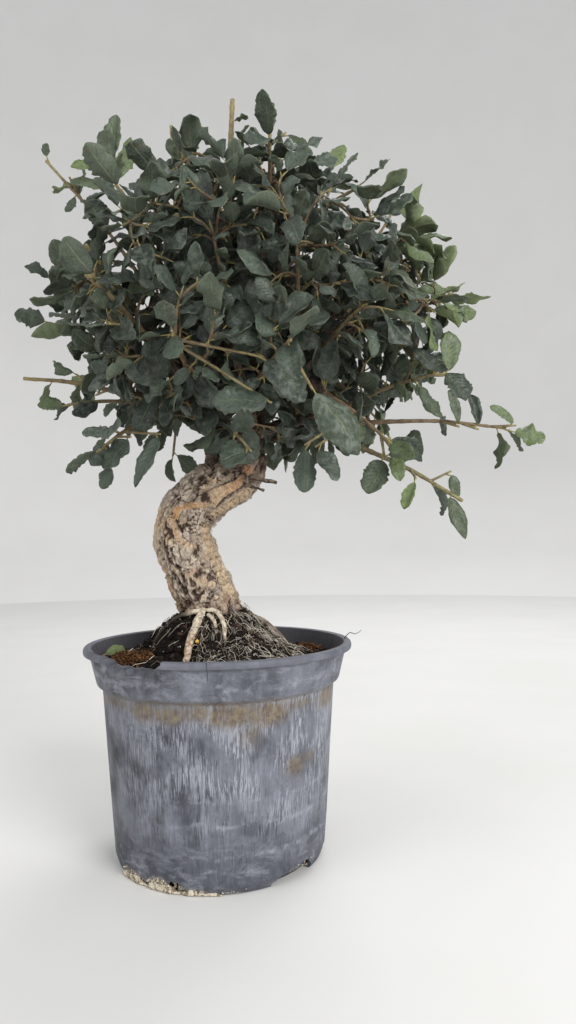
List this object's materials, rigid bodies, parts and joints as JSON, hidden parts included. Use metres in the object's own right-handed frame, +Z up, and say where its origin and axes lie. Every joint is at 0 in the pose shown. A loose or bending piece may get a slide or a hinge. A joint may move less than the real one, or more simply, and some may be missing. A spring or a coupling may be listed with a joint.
{
  "type": "cork oak bonsai",
  "caption": "Cork oak bonsai with a kinked corky trunk, surface roots and a full leafy crown, standing in its worn plastic nursery pot.",
  "frame": {"origin": "middle of the pot's flat underside", "axes": "+Z up along the tree, -Y towards the front of the picture, +X to its right"},
  "size_m": [0.3493, 0.2598, 0.4917],
  "materials": {
    "plastic": "weathered grey-blue plastic, scratched and lime stained",
    "soil": "dark crumbly peat with moss and fine roots",
    "bark": "deeply fissured cork bark",
    "leaf": "leathery dark green leaf with a dusty sheen",
    "root": "pale bare root",
    "twig": "young olive to red-brown bark"
  },
  "bodies": {
    "root": {"pot": "plastic", "soil": "soil", "trunk": "bark", "leafy_spray_01": "leaf", "leafy_spray_02": "leaf", "leafy_spray_03": "leaf", "leafy_spray_04": "leaf", "leafy_spray_05": "leaf", "leafy_spray_06": "leaf", "leafy_spray_07": "leaf", "leafy_spray_08": "leaf", "leafy_spray_09": "leaf", "leafy_spray_10": "leaf", "leafy_spray_11": "leaf", "leafy_spray_12": "leaf", "leafy_spray_13": "leaf", "leafy_spray_14": "leaf", "leafy_spray_15": "leaf", "leafy_spray_16": "leaf", "leafy_spray_17": "leaf", "leafy_spray_18": "leaf", "leafy_spray_19": "leaf", "leafy_spray_20": "leaf", "leafy_spray_21": "leaf", "leafy_spray_22": "leaf", "leafy_spray_23": "leaf", "leafy_spray_24": "leaf", "leafy_spray_25": "leaf", "leafy_spray_26": "leaf", "leafy_spray_27": "leaf", "leafy_spray_28": "leaf", "leafy_spray_29": "leaf", "leafy_spray_30": "leaf", "leafy_spray_31": "leaf", "leafy_spray_32": "leaf", "leafy_spray_33": "leaf", "leafy_spray_34": "leaf", "leafy_spray_35": "leaf", "leafy_spray_36": "leaf", "leafy_spray_37": "leaf", "leafy_spray_38": "leaf", "leafy_spray_39": "leaf", "leafy_spray_40": "leaf", "leafy_spray_41": "leaf"}
  },
  "joints": []
}
